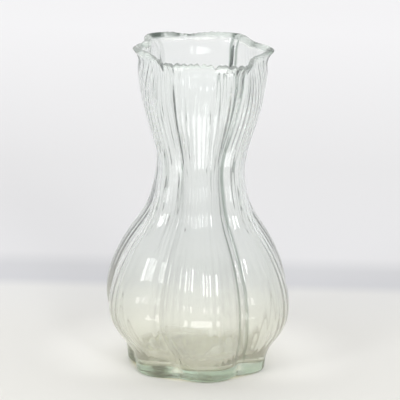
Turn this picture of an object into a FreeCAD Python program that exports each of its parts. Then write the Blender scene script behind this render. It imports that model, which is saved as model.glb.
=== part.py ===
import FreeCAD, Part
import math
import os

# Clear glass flower vase, blown in a mould and finished by hand: one piece of glass.
# Millimetres, +Z up, origin on the table at the middle of the foot, the front faces -Y.
# Its six folds run from the foot to the lip: grooves on the body and waist, pulled tips on the lip.

# Heights above the table
height = 205.0
waist_height = 132.0
body_height = 46.0
collar_height = 10.5

# Radii at the crest of the lobes, and in the middle of the hollow panels between the tips of the lip
foot_radius = 44.1
collar_radius = 45.6
body_radius = 61.3
waist_radius = 30.0
throat_radius = 39.9
panel_radius = 36.9

# Depth of the folds, inward on the body and outward on the lip
foot_fold = 5.8
body_fold = 8.4
waist_fold = 7.0
tip_reach = 6.9

# The glass
wall = 3.0
floor_thickness = 6.5
foot_round = 1.6
floor_round = 3.5

# Folds round the vase, in degrees from the front towards +X
folds = 6
first_fold = 33.0
foot_turn = 9.5
groove_softness_share = 0.12
tip_softness_share = 0.45
inner_fold_share = 0.85
points_per_fold = 12
round_steps = 3

# What the hand did to the lip: degrees each tip was pushed round, its share of the reach, and the
# share of the panel radius that the panel after it has
tip_turns = (2.0, 0.5, -1.0, 11.0, -1.5, -4.0)
tip_reach_shares = (1.5, 1.0, 0.9, 1.45, 1.0, 0.9)
panel_shares = (1.0, 1.0, 1.02, 1.08, 1.02, 1.04)

# Curve from the collar of the foot up to the widest ring: share of the way up, share of the swelling,
# share of the fold depth won, share of the turn of the foot that is left
bulb_shares = (
    (0.12, 0.13, 0.10, 0.85),
    (0.36, 0.53, 0.40, 0.45),
    (0.64, 0.89, 0.75, 0.10),
)

# Curve from the widest ring up to the waist: share of the way up, share of the narrowing
shoulder_shares = (
    (0.20, 0.13),
    (0.42, 0.44),
    (0.62, 0.79),
    (0.81, 0.95),
)

# Curve from the waist up to the lip: share of the way up, share of the widening to the throat,
# share of the drawing in from the throat to the panels, share of the change from groove to tip
neck_shares = (
    (0.25, 0.35, 0.00, 0.16),
    (0.46, 0.78, 0.00, 0.29),
    (0.66, 1.00, 0.05, 0.44),
    (0.82, 1.00, 0.35, 0.62),
    (0.93, 1.00, 0.85, 0.77),
)


def between(low, high, share):
    return low + (high - low) * share


class Ring:
    # One level of the form: height, radius of the crests, depth and turn of the grooves, share of tip
    def __init__(self, z, crest, groove, turn=0.0, tip=0.0):
        self.z, self.crest, self.groove, self.turn, self.tip = z, crest, groove, turn, tip

    def moved(self, other, up, across):
        # A ring between this one and another, with its own shares of the way up and of the way across
        return Ring(
            between(self.z, other.z, up),
            between(self.crest, other.crest, across),
            between(self.groove, other.groove, across),
            between(self.turn, other.turn, across),
            between(self.tip, other.tip, across),
        )

    def inside(self):
        # The same level of the inner face, a wall further in, where every fold is softer
        return Ring(self.z, self.crest - wall, self.groove, self.turn, self.tip)

    def fold_at(self, i, depth_share):
        # Angle and radius of a fold, which lies inside the crests as a groove or outside them as a tip
        i_tip = i % len(tip_turns)
        angle = first_fold + self.turn + 360 * i / folds + tip_turns[i_tip] * self.tip
        depth = self.groove * (1 - self.tip) - tip_reach * tip_reach_shares[i_tip] * self.tip
        return angle, self.crest - depth * depth_share

    def wave(self, share):
        # 0 in a fold and 1 on the crest halfway to the next: a round lobe creased at its two ends
        softness = between(groove_softness_share, tip_softness_share, self.tip)
        swing = math.hypot(math.sin(math.pi * share), softness)
        return (swing - softness) / (math.hypot(1, softness) - softness)

    def wire(self, depth_share=1.0):
        # Closed curve through points that stand closer near the folds, at the same places on every ring
        points = []
        places = []
        for i in range(folds):
            angle, fold = self.fold_at(i, depth_share)
            next_angle, next_fold = self.fold_at((i + 1) % folds, depth_share)
            span = (next_angle - angle) % 360
            crest = self.crest * between(1, panel_shares[i % len(panel_shares)], self.tip)
            for j in range(points_per_fold):
                share = (1 - math.cos(math.pi * j / points_per_fold)) / 2
                near = fold if share < 1 / 2 else next_fold
                reach = between(near, crest, self.wave(share))
                around = math.radians(angle + span * share - 90)
                points.append(FreeCAD.Vector(reach * math.cos(around), reach * math.sin(around), self.z))
                places.append(i + share)
        curve = Part.BSplineCurve()
        curve.interpolate(Points=points, PeriodicFlag=True, Parameters=places + [folds])
        return Part.Wire([curve.toShape()])


def skin(wires):
    return Part.makeLoft(wires, False, False)


# The outer form, ring by ring
foot_ring = Ring(foot_round, foot_radius, foot_fold, foot_turn)
outer = [foot_ring, Ring(collar_height, collar_radius, foot_fold, foot_turn)]
for rise, swell, deepen, turn_left in bulb_shares:
    outer.append(Ring(
        between(collar_height, body_height, rise),
        between(collar_radius, body_radius, swell),
        between(foot_fold, body_fold, deepen),
        foot_turn * turn_left,
    ))
outer.append(Ring(body_height, body_radius, body_fold))
for rise, narrow in shoulder_shares:
    outer.append(Ring(
        between(body_height, waist_height, rise),
        between(body_radius, waist_radius, narrow),
        between(body_fold, waist_fold, rise),
    ))
outer.append(Ring(waist_height, waist_radius, waist_fold))
lip_height = height - wall / 2
for rise, widen, draw, tip in neck_shares:
    throat = between(waist_radius, throat_radius, widen)
    outer.append(Ring(
        between(waist_height, lip_height, rise),
        between(throat, panel_radius, draw),
        waist_fold,
        tip=tip,
    ))
lip_ring = Ring(lip_height, panel_radius, waist_fold, tip=1.0)
outer.append(lip_ring)

# The inner form: it starts over the floor slab and misses the collar, which is only on the outside
well_ring = Ring(floor_thickness + floor_round, foot_radius - wall, foot_fold, foot_turn)
inner = [well_ring] + [ring.inside() for ring in outer if ring.z > collar_height]


def quarter(start, end, steps, up_first):
    # Rings on a quarter round from one ring to another, which leaves the first one upright or level
    rings = []
    for i in range(steps + 1):
        angle = math.pi / 2 * i / steps
        fast, slow = math.sin(angle), 1 - math.cos(angle)
        rings.append(start.moved(end, fast, slow) if up_first else start.moved(end, slow, fast))
    return rings


# Fire-polished lip: half round from the outer form over the crown to the inner form
crown = Ring(height, lip_ring.crest - wall / 2, waist_fold, tip=1.0)
over = quarter(lip_ring, crown, round_steps, True) + quarter(crown, inner[-1], round_steps, False)[1:]
lip_steps = len(over) - 1
lip_wires = [ring.wire(between(1, inner_fold_share, i / lip_steps)) for i, ring in enumerate(over)]

# Rounded edge of the flat foot, and rounded corner round the floor inside
base_ring = Ring(0, foot_radius - foot_round, foot_fold, foot_turn)
base_wires = [ring.wire() for ring in quarter(base_ring, foot_ring, round_steps, False)]
floor_ring = Ring(floor_thickness, well_ring.crest - floor_round, foot_fold, foot_turn)
floor_wires = [ring.wire(inner_fold_share) for ring in quarter(floor_ring, well_ring, round_steps, False)]

skins = [
    skin(base_wires),
    skin([ring.wire() for ring in outer]),
    skin(lip_wires),
    skin([ring.wire(inner_fold_share) for ring in inner]),
    skin(floor_wires),
    Part.Face(base_wires[0]),
    Part.Face(floor_wires[0]),
]
glass = Part.makeShell([face for piece in skins for face in piece.Faces])
glass.sewShape()
vase = Part.makeSolid(glass)
if vase.Volume < 0:
    vase.reverse()

os.makedirs("parts", exist_ok=True)
vase.exportStep("parts/vase.step")
print("valid", vase.isValid(), "solids", len(vase.Solids), "faces", len(vase.Faces))
print("volume", round(vase.Volume), "mm3, box", vase.BoundBox)
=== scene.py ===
import math
import bpy
import numpy as np
from mathutils import Matrix, Vector


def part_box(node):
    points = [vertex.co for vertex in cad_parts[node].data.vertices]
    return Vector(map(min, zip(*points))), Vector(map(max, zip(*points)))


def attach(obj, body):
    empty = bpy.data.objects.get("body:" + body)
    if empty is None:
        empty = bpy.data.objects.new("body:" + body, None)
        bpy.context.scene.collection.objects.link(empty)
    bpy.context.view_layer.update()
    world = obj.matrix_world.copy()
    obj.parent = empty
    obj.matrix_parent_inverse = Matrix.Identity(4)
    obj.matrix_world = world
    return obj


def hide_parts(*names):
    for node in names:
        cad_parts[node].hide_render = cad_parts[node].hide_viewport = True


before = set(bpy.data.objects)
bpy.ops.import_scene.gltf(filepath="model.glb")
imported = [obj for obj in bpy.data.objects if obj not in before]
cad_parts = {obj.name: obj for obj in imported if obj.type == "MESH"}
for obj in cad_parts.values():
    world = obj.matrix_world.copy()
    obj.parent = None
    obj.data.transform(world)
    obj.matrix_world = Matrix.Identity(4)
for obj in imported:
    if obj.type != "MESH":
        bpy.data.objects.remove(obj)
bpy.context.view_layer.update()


# The glass: one gather of pale green soda glass, blown into a lobed mould, pulled out by hand at the lip
# and fire polished. Six folds run up it, grooves on the body and waist and pointed tips at the lip, with
# fine ribs between them, and the metal is left thick in the floor.
foot_low, lip_high = (corner.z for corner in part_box("vase"))
height = lip_high - foot_low
collar_height = 0.0105
body_height = 0.046
waist_height = 0.132
foot_radius = 0.0441
collar_radius = 0.0456
body_radius = 0.0613
waist_radius = 0.030
throat_radius = 0.0399
panel_radius = 0.0369
foot_fold = 0.0058
body_fold = 0.0084
waist_fold = 0.0070
foot_turn = 9.5
wall = 0.003
floor_thickness = 0.0065
foot_round = 0.0016
floor_round = 0.0035

# Collar to widest ring: share of the way up, of the swelling, of the groove won, of the turn that is left
bulb_shares = ((0.12, 0.13, 0.10, 0.85), (0.36, 0.53, 0.40, 0.45), (0.64, 0.89, 0.75, 0.10))

# Widest ring to waist: share of the way up, of the narrowing
shoulder_shares = ((0.20, 0.13), (0.42, 0.44), (0.62, 0.79), (0.81, 0.95))

# Waist to lip: share of the way up, of the widening to the throat, of the drawing in to the panels, and of
# the change from groove to tip
neck_shares = (
    (0.25, 0.35, 0.00, 0.16), (0.46, 0.78, 0.00, 0.29), (0.66, 1.00, 0.05, 0.44),
    (0.82, 1.00, 0.35, 0.62), (0.93, 1.00, 0.85, 0.77),
)


def between(low, high, share):
    return low + (high - low) * share


# Levels of the outer form: height, crest radius, groove depth, turn in degrees, share of the way to tips
lip_height = height - wall / 2
levels = [
    (foot_round, foot_radius, foot_fold, foot_turn, 0),
    (collar_height, collar_radius, foot_fold, foot_turn, 0),
]
for rise, swelling, deepening, turn_left in bulb_shares:
    levels.append((
        between(collar_height, body_height, rise), between(collar_radius, body_radius, swelling),
        between(foot_fold, body_fold, deepening), foot_turn * turn_left, 0,
    ))
levels.append((body_height, body_radius, body_fold, 0, 0))
for rise, narrowing in shoulder_shares:
    levels.append((
        between(body_height, waist_height, rise), between(body_radius, waist_radius, narrowing),
        between(body_fold, waist_fold, rise), 0, 0,
    ))
levels.append((waist_height, waist_radius, waist_fold, 0, 0))
for rise, widening, drawing_in, to_tips in neck_shares:
    throat = between(waist_radius, throat_radius, widening)
    levels.append((
        between(waist_height, lip_height, rise), between(throat, panel_radius, drawing_in),
        waist_fold, 0, to_tips,
    ))
levels.append((lip_height, panel_radius, waist_fold, 0, 1))
outer_levels = np.array(levels, float)

# Levels of the inner form, from the well over the thick floor up: a wall further in, without the collar
well = (floor_thickness + floor_round, foot_radius - wall, foot_fold, foot_turn, 0)
above_collar = [(level, crest - wall, *rest) for level, crest, *rest in levels if level > collar_height]
inner_levels = np.array([well] + above_collar)


def through(table, at):
    # Natural cubic curves through every column of a table, at the heights asked for
    x, y = table[:, 0], table[:, 1:]
    gap = np.diff(x)[:, None]
    slope = np.diff(y, axis=0) / gap
    bend = np.eye(len(x))
    load = np.zeros_like(y)
    for i in range(1, len(x) - 1):
        bend[i, i - 1:i + 2] = gap[i - 1, 0], 2 * (gap[i - 1, 0] + gap[i, 0]), gap[i, 0]
        load[i] = 6 * (slope[i] - slope[i - 1])
    curve = np.linalg.solve(bend, load)
    low = np.clip(np.searchsorted(x, at) - 1, 0, len(x) - 2)
    past = (at - x[low])[:, None]
    rate = slope[low] - gap[low] * (2 * curve[low] + curve[low + 1]) / 6
    cubic = past ** 3 * (curve[low + 1] - curve[low]) / (6 * gap[low])
    return y[low] + past * rate + past ** 2 * curve[low] / 2 + cubic


# Rows of the surface from the middle of the underside out, up, over the lip, down inside and in to the
# middle of the floor: height, crest, groove, turn, tip, fold share, share of the radius, rib depth
wall_steps = 260
quarter_steps = 6
flat_shares = np.array([0.0, 0.25, 0.5, 0.75, 0.93, 0.985])
inner_fold_share = 0.85
rib_depth = 0.0007

# How much of their depth the ribs have at some heights
rib_fades = {
    0.006: 0.05, 0.014: 0.6, 0.045: 0.9, 0.1: 0.8, 0.128: 0.5, 0.15: 1.0, 0.18: 0.9, 0.203: 0.3,
}


def at_heights(heights, values):
    # Values known at some heights, at all the heights asked for
    return np.interp(heights, list(values), list(values.values()))


def rows_of(heights, sizes, fold_share, radius_share, ribs):
    # One row for each height; the last three values are given row by row or are the same for all
    shares = (np.broadcast_to(share, len(heights)) for share in (fold_share, radius_share, ribs))
    return np.column_stack([heights, sizes, *shares])


def flat_rows(level, fold_share):
    # A flat round face, from its middle out to where its edge turns up
    count = len(flat_shares)
    return rows_of(np.full(count, level[0]), np.tile(level[1:], (count, 1)), fold_share, flat_shares, 0)


def quarter(start, end, up_first, fold_shares):
    # A quarter round from one level to another, which leaves the first one upright or flat
    angle = np.linspace(0, math.pi / 2, quarter_steps + 1)
    fast, slow = np.sin(angle), 1 - np.cos(angle)
    up, across = (fast, slow) if up_first else (slow, fast)
    start, end = np.array(start, float), np.array(end, float)
    sizes = between(start[1:], end[1:], across[:, None])
    return rows_of(between(start[0], end[0], up), sizes, np.linspace(*fold_shares, len(up)), 1, 0)


foot_level, lip_level, inner_lip = levels[0], levels[-1], inner_levels[-1]
base_level = (0, foot_radius - foot_round, *foot_level[2:])
floor_level = (floor_thickness, well[1] - floor_round, *well[2:])
crown_level = (height, panel_radius - wall / 2, *lip_level[2:])
crown_fold_share = between(1, inner_fold_share, 0.5)
wall_up = np.linspace(foot_round, lip_height, wall_steps)
wall_down = np.linspace(lip_height, well[0], wall_steps)
rib_depths = rib_depth * at_heights(wall_up, rib_fades)
rows = np.concatenate([
    flat_rows(base_level, 1),
    quarter(base_level, foot_level, False, (1, 1)),
    rows_of(wall_up, through(outer_levels, wall_up), 1, 1, rib_depths)[1:-1],
    quarter(lip_level, crown_level, True, (1, crown_fold_share)),
    quarter(crown_level, inner_lip, False, (crown_fold_share, inner_fold_share))[1:],
    rows_of(wall_down, through(inner_levels, wall_down), inner_fold_share, 1, rib_depths[::-1])[1:-1],
    quarter(floor_level, well, False, (inner_fold_share, inner_fold_share))[::-1],
    flat_rows(floor_level, inner_fold_share)[::-1],
])
z, crest, groove, turn, tip, fold_share, radius_share, ribs = (column[:, None] for column in rows.T)
outward = np.arange(len(rows))[:, None] < np.argmax(z)

# The six folds, from the right front one round the back to the left front one. The tips were pushed round,
# by degrees, and each has its share of the reach; the panel after it has its share of the panel radius.
# The last fold is hardly more than a line in the neck.
folds = 6
first_fold = 33.0
left_front_fold = 5
left_front_angle = first_fold + 360 / folds * left_front_fold
tip_reach = 0.0069
tip_turns = np.array([2.0, 0.5, -6.0, 16.0, -1.5, -4.0])
tip_reach_shares = np.array([1.5, 1.0, 0.9, 1.5, 1.0, 0.9])
panel_shares = np.array([1.0, 1.0, 1.07, 1.08, 1.02, 1.04])
body_softness = np.array([0.12, 0.3, 0.15, 0.3, 0.35, 0.3])
neck_softness = np.array([0.12, 0.3, 0.15, 0.3, 0.35, 0.45])
tip_softness = 0.45
neck_shallows = np.array([0.0, 0.0, 0.0, 0.0, 0.0, 0.45])
neck_start = 0.1
neck_change = 0.04


def rising(at, start, length):
    # 0 up to the start and 1 from a length past it
    return np.clip((at - start) / length, 0, 1)


def bell(off, width):
    # 1 in the middle and less with the distance from it
    return np.exp(-(off / width) ** 2)


def near_angle(middle, width):
    # 1 at an angle round the vase and less with the degrees from it
    return bell((angle - middle + 180) % 360 - 180, width)


def crease(along, softness):
    # 0 where two round lobes meet and 1 halfway between such creases
    return (np.hypot(np.sin(math.pi * along), softness) - softness) / (np.hypot(1, softness) - softness)


def by_fold(on_body, on_neck):
    # What the nearest fold has on the body and, further up, in the neck
    return between(on_body[nearest_fold], on_neck[nearest_fold], in_neck)


steps_per_lobe = 128
steps_round = steps_per_lobe * folds
step = np.arange(steps_round)
lobe = step * folds // steps_round
share = (step * folds / steps_round) % 1
after = (lobe + 1) % folds
nearest_fold = np.where(share < 0.5, lobe, after)
in_neck = rising(z, neck_start, neck_change)
pushed = (tip_turns[lobe] * (1 - share) + tip_turns[after] * share) * tip
angle = first_fold + turn + 360 * (lobe + share) / folds + pushed
sweep = np.radians(angle - 90)
shallow = 1 - in_neck * neck_shallows[nearest_fold]
depth = groove * (1 - tip) * shallow - tip_reach * tip_reach_shares[nearest_fold] * tip
fold_radius = crest - depth * fold_share
crest_radius = crest * between(1, panel_shares[lobe], tip)
softness = between(by_fold(body_softness, neck_softness), tip_softness, tip)
radius = between(fold_radius, crest_radius, crease(share, softness))

# The ribs that the mould left between the folds: of uneven strength, not quite evenly spaced, clearest on
# the front lobe and partly polished away on the two lobes beside it
chance = np.random.default_rng(11)
ribs_per_lobe = 11
rib_wander = 0.012
weakest_rib = 0.45
rib_softness = 0.3
rib_inset = 0.8
rib_shares = np.array([0.5, 0.25, 0.3, 0.25, 0.5, 1.0])
side_lobes = np.array([1, 0, 0, 0, 1, 0])
side_smoothing = {0.1: 0.5, 0.13: 0.35}
shift = chance.uniform(-rib_wander, rib_wander, folds)[lobe] * np.sin(math.tau * share)
strength = chance.uniform(weakest_rib, 1.0, folds * ribs_per_lobe) * np.repeat(rib_shares, ribs_per_lobe)
along_rib = ribs_per_lobe * (share + shift)
rib_number = (lobe * ribs_per_lobe + np.floor(along_rib).astype(int)) % len(strength)
rib = crease(along_rib, rib_softness) * strength[rib_number]
unsmoothed = 1 - at_heights(z, side_smoothing) * side_lobes[lobe]
radius = radius - ribs * unsmoothed * (rib_inset * rib_shares[lobe] - rib)

# A narrow crease in the bottom of each fold, which dies out at the foot and the lip and is faint inside
crease_width = 0.0016
body_creases = np.array([0.0020, 0.0003, 0.0002, 0.0002, 0.0003, 0.0004])
neck_creases = np.array([0.0016, 0.0006, 0.0020, 0.0006, 0.0006, 0.0004])
inner_crease_share = 0.35
lip_fade = 0.012
foot_fade_start, foot_fade = 0.006, 0.03
well_fade_start, well_fade = 0.01, 0.012
off_fold = np.minimum(share, 1 - share) * math.tau / folds * crest
crease_fade = rising(height - z, 0, lip_fade) * rising(z, foot_fade_start, foot_fade)
inner_crease_fade = inner_crease_share * crease_fade * rising(z, well_fade_start, well_fade)
creased = np.where(outward, crease_fade, inner_crease_fade)
radius = radius - by_fold(body_creases, neck_creases) * creased * bell(off_fold, crease_width)

# Painted shade: thin dark lines along the folds, a little beside each, where the folds bend the light. They
# draw nearer to it up the vase, and the left front one runs in the fold itself in the neck.
body_fold_shade = np.array([0.95, 0.1, 0.2, 0.15, 0.15, 0.15])
neck_fold_shade = np.array([1.0, 0.15, 1.0, 0.3, 0.15, 0.22])
line_offsets = {0.0: 0.0036, 0.03: 0.0034, 0.07: 0.0029, 0.13: 0.0017, 0.2: 0.0018}
line_widths = {0.08: 0.0008, 0.13: 0.00055}
line_start, line_fade = 0.004, 0.01
beside = at_heights(z, line_offsets) * (1 - in_neck * (nearest_fold == left_front_fold))
fold_shade_lines = by_fold(body_fold_shade, neck_fold_shade) * bell(off_fold - beside, at_heights(z, line_widths))

# A short dash in the left front fold at the waist, outside, with a fainter tail below it
dash_height = 0.1335
dash_length = 0.0030
dash_width = 1.3
tail_height = 0.1205
tail_length = 0.006
tail_share = 0.45
dash = bell(z - dash_height, dash_length) + tail_share * bell(z - tail_height, tail_length)
dash_outside = np.where(outward, dash, 0) * near_angle(left_front_angle, dash_width)
shade_lines_and_dash = fold_shade_lines * rising(z, line_start, line_fade) + dash_outside

# What the hand left: a slow swell of the wall, and at the lip a bead that is thick at the back, and a
# droop with a nibbled edge that is stronger in front
wave_count = 6


def uneven(turns, climb):
    # About 1 high: waves with so many turns round the vase, from a range, that lean as they climb it
    about = chance.integers(*turns, wave_count)[:, None, None]
    lean, start = chance.uniform(-climb, climb, wave_count), chance.uniform(0, math.tau, wave_count)
    waves = np.cos(about * sweep + lean[:, None, None] * z + start[:, None, None])
    return waves.sum(axis=0) / math.sqrt(wave_count)


swell_depth = 0.00012
swell_turns, swell_climb = (2, 9), 45.0
back_start, back_change = -0.03, 0.04
bead_below = 0.0022
bead_height = 0.0016
bead_depth = 0.0005
bead_change, bead_turns = 0.00025, (9, 30)
front_bead, back_bead = 0.15, 1.2
fine_nibble, fine_turns = 0.0005, (20, 70)
broad_nibble, broad_turns = 0.0006, (3, 9)
back_nibble, front_nibble = 0.35, 1
front_droop = 0.0012
droop_start = 0.188
droop_length = 0.017

# Dips in the lip: the angle round the vase, the width in degrees and the depth of each
lip_dips = (
    (35, 12, 0.0012), (12, 2.2, 0.0016), (42, 2.5, 0.0012), (321, 2.2, 0.0014), (195, 13, 0.0014),
)
swell = uneven(swell_turns, swell_climb) * swell_depth
at_back = rising(-np.cos(np.radians(angle)) * radius, back_start, back_change)
in_front = 1 - at_back
bead_share = bell(z - height + bead_below, bead_height) * between(front_bead, back_bead, at_back)
bead = np.where(outward, 1, -1) * bead_share * (bead_depth + bead_change * uneven(bead_turns, 0))
radius = (radius + bead + swell) * radius_share
nibble = fine_nibble * uneven(fine_turns, 0) + broad_nibble * uneven(broad_turns, 0)
droop = front_droop * in_front + between(back_nibble, front_nibble, in_front) * nibble
for middle, width, dip in lip_dips:
    droop = droop + dip * near_angle(middle, width)
lip_drop = rising(z, droop_start, droop_length) ** 2 * np.clip(droop, 0, None)

# Small waves in the floor of the well, up to where its wall begins
well_top = 0.014
well_change = 0.005
well_wave, well_turns = 0.0009, (2, 9)
in_well = np.where(outward, 0, rising(well_top - z, 0, well_change)) * radius_share
height_at = z - lip_drop + well_wave * in_well * uneven(well_turns, 0)

# Painted shade in the thick glass of the lip, where it bends and traps the light: the angle, the width in
# degrees and the strength of each
lip_shades = (
    (190, 45, 0.35), (147, 7, 1.0), (199, 12, 0.8), (225, 9, 1.0), (90, 9, 0.8), (115, 9, 0.6),
    (270, 9, 0.7),
)
lip_shade = sum(dark * near_angle(middle, width) for middle, width, dark in lip_shades)

# The mesh: rings of vertices joined by quads, and one vertex in the middle of the underside and of the floor
surface = (radius * np.cos(sweep), radius * np.sin(sweep), np.broadcast_to(height_at, radius.shape))
rings = np.stack(surface, axis=2)[1:-1]
vertices = np.concatenate([rings.reshape(-1, 3), [[0, 0, 0], [0, 0, floor_thickness]]])
beyond = (step + 1) % steps_round
ring_starts = np.arange(len(rings) - 1)[:, None] * steps_round
ends = (
    ring_starts + step, ring_starts + beyond,
    ring_starts + steps_round + beyond, ring_starts + steps_round + step,
)
quads = np.stack(ends, axis=2).reshape(-1, 4)
last_ring = (len(rings) - 1) * steps_round
under = np.stack([np.full(steps_round, len(vertices) - 2), beyond, step], axis=1)
within = np.stack([np.full(steps_round, len(vertices) - 1), last_ring + step, last_ring + beyond], axis=1)
glass_mesh = bpy.data.meshes.new("vase_glass")
glass_mesh.from_pydata(vertices.tolist(), [], quads.tolist() + under.tolist() + within.tolist())
# The mesh carries the painted shade along the folds with the dash, and the painted shade of the lip
for name, strengths in (("beside_fold", shade_lines_and_dash), ("shaded_lip", lip_shade)):
    painted = glass_mesh.attributes.new(name, "FLOAT", "POINT")
    painted.data.foreach_set("value", np.append(strengths[1:-1].reshape(-1), (0, 0)))
glass_mesh.update()
glass_mesh.shade_smooth()
vase = bpy.data.objects.new("vase_glass", glass_mesh)
bpy.context.collection.objects.link(vase)
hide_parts("vase")
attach(vase, "root")


class Socket:
    # One output of a node; a sum, a difference or a product of it adds a Math node
    def __init__(self, finish, output):
        self.finish, self.output = finish, output

    def math(self, operation, *terms):
        return self.finish.node("ShaderNodeMath", {"operation": operation}, dict(enumerate(terms)))

    def __add__(self, other):
        return self.math("ADD", self, other)

    def __sub__(self, other):
        return self.math("SUBTRACT", self, other)

    def __rsub__(self, other):
        return self.math("SUBTRACT", other, self)

    def __mul__(self, other):
        return self.math("MULTIPLY", self, other)

    __radd__, __rmul__ = __add__, __mul__


class Finish:
    # The nodes of a material or of the room
    def __init__(self, owner):
        self.owner = owner
        owner.use_nodes = True
        self.tree = owner.node_tree
        self.tree.nodes.clear()

    def node(self, kind, settings=None, inputs=None, output=0):
        # Settings, a ramp's stops among them, are set first, then the values or links of the inputs
        made = self.tree.nodes.new(kind)
        for name, value in (settings or {}).items():
            if name != "stops":
                setattr(made, name, value)
                continue
            for position, colour in value[1:-1]:
                made.color_ramp.elements.new(position)
            for stop, (position, colour) in zip(made.color_ramp.elements, value):
                stop.position, stop.color = position, (*colour, 1)
        for name, value in (inputs or {}).items():
            if isinstance(value, Socket):
                self.tree.links.new(value.output, made.inputs[name])
            else:
                made.inputs[name].default_value = value
        return Socket(self, made.outputs[output]) if made.outputs else made

    def vector(self, operation, *terms):
        output = "Value" if operation in ("LENGTH", "DISTANCE") else "Vector"
        return self.node("ShaderNodeVectorMath", {"operation": operation}, dict(enumerate(terms)), output)

    def axis(self, place, number):
        return self.node("ShaderNodeSeparateXYZ", None, {0: place}, number)

    def noise(self, place, scale, detail):
        return self.node("ShaderNodeTexNoise", None, {"Vector": place, "Scale": scale, "Detail": detail})

    def mix(self, share, first, second):
        return self.node("ShaderNodeMix", {"data_type": "RGBA"}, {0: share, 6: first, 7: second}, 2)

    def ease(self, value, start, end, low=0.0, high=1.0, kind="SMOOTHSTEP"):
        # Goes from low to high while the value goes from start to end
        return self.node("ShaderNodeMapRange", {"interpolation_type": kind}, {
            "Value": value, "From Min": start, "From Max": end, "To Min": low, "To Max": high,
        })

    def painted(self, name):
        # What the mesh carries under a name
        return self.node("ShaderNodeAttribute", {"attribute_name": name}, None, "Fac")


# Places in the glass: the slab of the floor with its wavy upper edge, what is well inside its edge, the
# lip, the back half and the metal over the underside
glass = Finish(bpy.data.materials.new("pale_green_glass"))
place = glass.node("ShaderNodeNewGeometry")
drawn_up = (1.0, 1.0, 0.09)
level_only = (1.0, 1.0, 0.0)
fine_scale, slow_scale = 110.0, 38.0
slab_top, slab_full, slab_wave = 0.011, 0.005, 0.008
edge_radius, inner_radius = 0.0405, 0.0385
lip_start, lip_full = height - 0.0042, height - 0.0016
back_begin, back_full = 0.0, 0.012
floor_begin, floor_full = 0.003, 0.005
drawn = glass.vector("MULTIPLY", place, drawn_up)
ripple = glass.noise(drawn, fine_scale, 2.0)
slow_ripple = glass.noise(drawn, slow_scale, 1.0)
above_table = glass.axis(place, 2)
behind_axis = glass.axis(place, 1)
in_slab = glass.ease(above_table + slow_ripple * slab_wave - slab_wave / 2, slab_top, slab_full)
from_axis = glass.vector("LENGTH", glass.vector("MULTIPLY", place, level_only))
inward = glass.ease(from_axis, edge_radius, inner_radius)
near_lip = glass.ease(above_table, lip_start, lip_full)
back_half = glass.ease(behind_axis, back_begin, back_full)
over_floor = glass.ease(above_table, floor_begin, floor_full)

# The skin of blown glass is never quite even, and least of all on the slab
fine_share = 0.15
slab_relief = 2.0
relief = (ripple * fine_share + slow_ripple) * (1.0 + slab_relief * in_slab)
skin = glass.node("ShaderNodeBump", None, {"Strength": 1.0, "Distance": 0.00025, "Height": relief})

# The clear glass: greener in the lip and in the edge of the slab, dark in the painted shade along the folds
# and in the dash, with one dark speck low on the neck
clear_tone = (0.984, 0.992, 0.984, 1)
lip_green = (0.80, 0.92, 0.82, 1)
slab_green = (0.66, 0.76, 0.58, 1)
shade_and_dash_tone = (0.20, 0.27, 0.22, 1)
speck_tone = (0.10, 0.10, 0.09, 1)
speck_place = (-0.0089, -0.0345, 0.0966)
speck_narrowing = (1.0, 0.3, 0.45)
speck_radius, speck_core = 0.0009, 0.0004
lip_greening, slab_greening, back_paling = 0.5, 0.85, 0.7
slab_edge = in_slab * (1.0 - inward) * (1.0 - back_paling * back_half)
off_speck = glass.vector("MULTIPLY", glass.vector("SUBTRACT", place, speck_place), speck_narrowing)
speck = glass.ease(glass.vector("LENGTH", off_speck), speck_radius, speck_core)
with_lip = glass.mix(near_lip * lip_greening, clear_tone, lip_green)
with_slab = glass.mix(slab_edge * slab_greening, with_lip, slab_green)
# Painted shade along the folds, with the dash
with_shade_lines = glass.mix(glass.painted("beside_fold"), with_slab, shade_and_dash_tone)
with_speck = glass.mix(speck, with_shade_lines, speck_tone)
clear = glass.node("ShaderNodeBsdfPrincipled", None, {
    "Base Color": with_speck, "Roughness": 0.0, "IOR": 1.5, "Transmission Weight": 1.0, "Normal": skin,
})

# The haze that the light of a white room gives such glass: cool above, warmer low down, and in the thick
# lip pale with dark spots of painted shade
upper_haze = (0.91, 0.945, 0.955, 1)
lower_haze = (0.98, 0.945, 0.77, 1)
pale_lip = (0.80, 0.85, 0.82, 1)
dark_lip = (0.045, 0.07, 0.055, 1)
spot_scale, spot_start, spot_full = 170.0, 0.32, 0.52
haze_top, haze_low = 0.09, 0.012
spotted = glass.ease(glass.noise(place, spot_scale, 2.0), spot_start, spot_full)
spots = spotted * glass.painted("shaded_lip")
lip_haze = glass.mix(spots, pale_lip, dark_lip)
haze = glass.mix(glass.ease(above_table, haze_top, haze_low), upper_haze, lower_haze)
milky = glass.node("ShaderNodeBsdfPrincipled", None, {
    "Base Color": glass.mix(near_lip, haze, lip_haze), "Roughness": 0.25, "Normal": skin,
})

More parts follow.
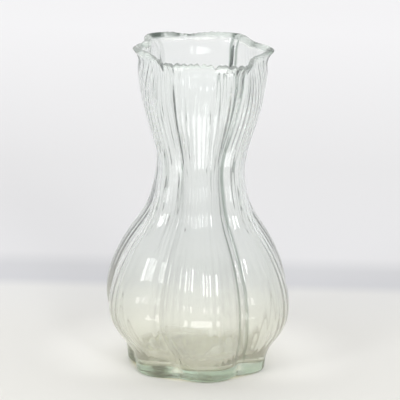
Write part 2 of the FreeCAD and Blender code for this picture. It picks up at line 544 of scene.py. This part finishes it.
# How much of it shows: most in the lip, then in the back of the slab, over the floor and in the belly
lip_share, spot_share = 0.42, 0.48
slab_share, slab_back_share = 0.03, 0.3
floor_share, floor_back_loss = 0.28, 0.24
belly_top, belly_full, belly_share = 0.11, 0.02, 0.13
least_cloud = 0.08
lip_front, lip_back, front_share, back_share = -0.03, 0.01, 0.5, 0.8
lip_to_back = glass.ease(behind_axis, lip_front, lip_back, front_share, back_share)
in_belly = glass.ease(above_table, belly_top, belly_full)
lip_cloud = near_lip * lip_to_back * (lip_share + spot_share * spots)
slab_cloud = in_slab * (slab_share + slab_back_share * back_half * (1.0 - inward))
floor_cloud = in_slab * inward * over_floor * (floor_share - floor_back_loss * back_half)
belly_cloud = in_belly * (1.0 - in_slab) * belly_share
clouded = lip_cloud + slab_cloud + floor_cloud + belly_cloud + least_cloud
glass_surface = glass.node("ShaderNodeMixShader", None, {0: clouded, 1: clear, 2: milky})
tint = glass.node("ShaderNodeVolumeAbsorption", None, {"Color": (0.18, 0.52, 0.34, 1), "Density": 7.5})
glass.node("ShaderNodeOutputMaterial", None, {"Surface": glass_surface, "Volume": tint})
glass_mesh.materials.append(glass.owner)


# The table: one wide pale sheet with a matt coat, on which the vase stands free. It is warm near the vase
# and cooler further off, with a soft band of painted shade behind it and painted light far off, and runs on
# far behind the vase.
table_radius = 3.0
table_corners = 96
table_gap = 0.0003
table_mesh = bpy.data.meshes.new("table")
table_edge = [
    (table_radius * math.cos(turned), table_radius * math.sin(turned), foot_low - table_gap)
    for turned in np.linspace(0, math.tau, table_corners, endpoint=False)
]
table_mesh.from_pydata(table_edge, [], [list(range(table_corners))])
table = bpy.data.objects.new("table", table_mesh)
bpy.context.collection.objects.link(table)

# Tones of the sheet, over one metre from a little before the vase to behind it: the darker stops behind the
# vase are a band of painted shade, and the lightest stop far behind is painted light where the lamps give
# less
tone_shade_and_light_stops = (
    (0.0, (0.735, 0.73, 0.70)), (0.17, (0.735, 0.73, 0.71)), (0.255, (0.73, 0.73, 0.725)),
    (0.275, (0.60, 0.605, 0.635)), (0.305, (0.61, 0.615, 0.64)), (0.335, (0.725, 0.725, 0.745)),
    (0.55, (0.745, 0.745, 0.76)), (0.9, (0.86, 0.86, 0.88)),
)
before_vase = 0.1
coat = Finish(bpy.data.materials.new("pale_table"))
spot = coat.node("ShaderNodeNewGeometry")
away = coat.axis(spot, 1)
tones_shade_and_light = coat.node("ShaderNodeValToRGB", {"stops": tone_shade_and_light_stops}, {"Fac": away + before_vase})

# Under the foot the light that came through the slab: cream in front and olive behind
front_patch = (1.0, 0.97, 0.80, 1)
back_patch = (0.56, 0.56, 0.24, 1)
patch_edge, patch_full = 0.043, 0.038
olive_begin, olive_full = -0.010, 0.004
under_foot = coat.ease(coat.vector("LENGTH", spot), patch_edge, patch_full, kind="LINEAR")
patch = coat.mix(coat.ease(away, olive_begin, olive_full), front_patch, back_patch)
with_patch = coat.mix(under_foot, tones_shade_and_light, patch)

# Round and behind the foot the light that the glass throws, in place of the shade of something solid
thrown_light = (0.98, 0.975, 0.95, 1)
shade_middle = (0.0, 0.02, 0.0)
shade_edge, shade_full, thrown_share = 0.11, 0.045, 0.8
front_edge, past_front = -0.055, -0.02
from_shade = coat.vector("DISTANCE", spot, shade_middle)
in_shade = coat.ease(from_shade, shade_edge, shade_full, 0.0, thrown_share)
lightened = in_shade * coat.ease(away, front_edge, past_front) * (1.0 - under_foot)
sheet_tone = coat.mix(lightened, with_patch, thrown_light)
sheet = coat.node("ShaderNodeBsdfPrincipled", None, {
    "Base Color": sheet_tone, "Roughness": 0.7, "Specular IOR Level": 0.2,
})
coat.node("ShaderNodeOutputMaterial", None, {"Surface": sheet})
table_mesh.materials.append(coat.owner)


# The light: a white room, a little dimmer to the sides, and in front of the vase a pair of soft boxes on
# each side, one high and one low. A small lit card lies on the table before it, out of the camera's sight.
room_dimming = 0.25
room_strength = 1.06
room = Finish(bpy.data.worlds.new("white_room"))
bpy.context.scene.world = room.owner
to_side = room.axis(room.node("ShaderNodeTexCoord", None, None, "Generated"), 0)
room_level = (1.0 - to_side * to_side * room_dimming) * room_strength
walls = room.node("ShaderNodeBackground", None, {"Color": (1.0, 0.995, 0.985, 1), "Strength": room_level})
room.node("ShaderNodeOutputWorld", None, {"Surface": walls})


def soft_box(name, place, aim, width, tall, power):
    lamp = bpy.data.lights.new(name, "AREA")
    lamp.shape, lamp.size, lamp.size_y = "RECTANGLE", width, tall
    lamp.energy = power
    box = bpy.data.objects.new(name, lamp)
    box.location = place
    box.visible_camera = False
    box.rotation_euler = (Vector(aim) - Vector(place)).to_track_quat("-Z", "Y").to_euler()
    bpy.context.collection.objects.link(box)


vase_middle = (0, 0, 0.1)
over_card = (0.01, -0.2075, 1.0)
soft_box("left_high_box", (-0.99, -1.27, 0.92), vase_middle, 0.4, 0.5, 5.4)
soft_box("right_high_box", (0.50, -1.55, 0.92), vase_middle, 0.3, 0.5, 6.4)
soft_box("left_low_box", (-0.99, -1.27, 0.14), vase_middle, 0.4, 0.2, 0.9)
soft_box("right_low_box", (0.60, -1.51, 0.14), vase_middle, 0.35, 0.2, 0.8)
soft_box("table_card", (0.01, -0.2075, 0.001), over_card, 0.18, 0.125, 0.25)


# The camera: five metres off and a little above the table, as a long lens sees the vase, with the picture
# tilted as in the photograph
pixels = 400
pixels_per_metre = 1600.0
elevation = math.radians(16.3)
roll = math.radians(1.36)
distance = 5.0
aim = Vector((0.0001, 0, 0.1061))
back = Vector((0, -math.cos(elevation), math.sin(elevation)))
camera_data = bpy.data.cameras.new("camera")
camera_data.sensor_width = 36.0
camera_data.lens = camera_data.sensor_width * distance / (pixels / pixels_per_metre)
camera_data.clip_start, camera_data.clip_end = 0.1, 50.0
camera = bpy.data.objects.new("camera", camera_data)
bpy.context.collection.objects.link(camera)
facing = (-back).to_track_quat("-Z", "Y").to_matrix().to_4x4()
camera.matrix_world = Matrix.Translation(aim + back * distance) @ facing @ Matrix.Rotation(roll, 4, "Z")
bpy.context.scene.camera = camera
bpy.context.scene.view_settings.view_transform = "Standard"
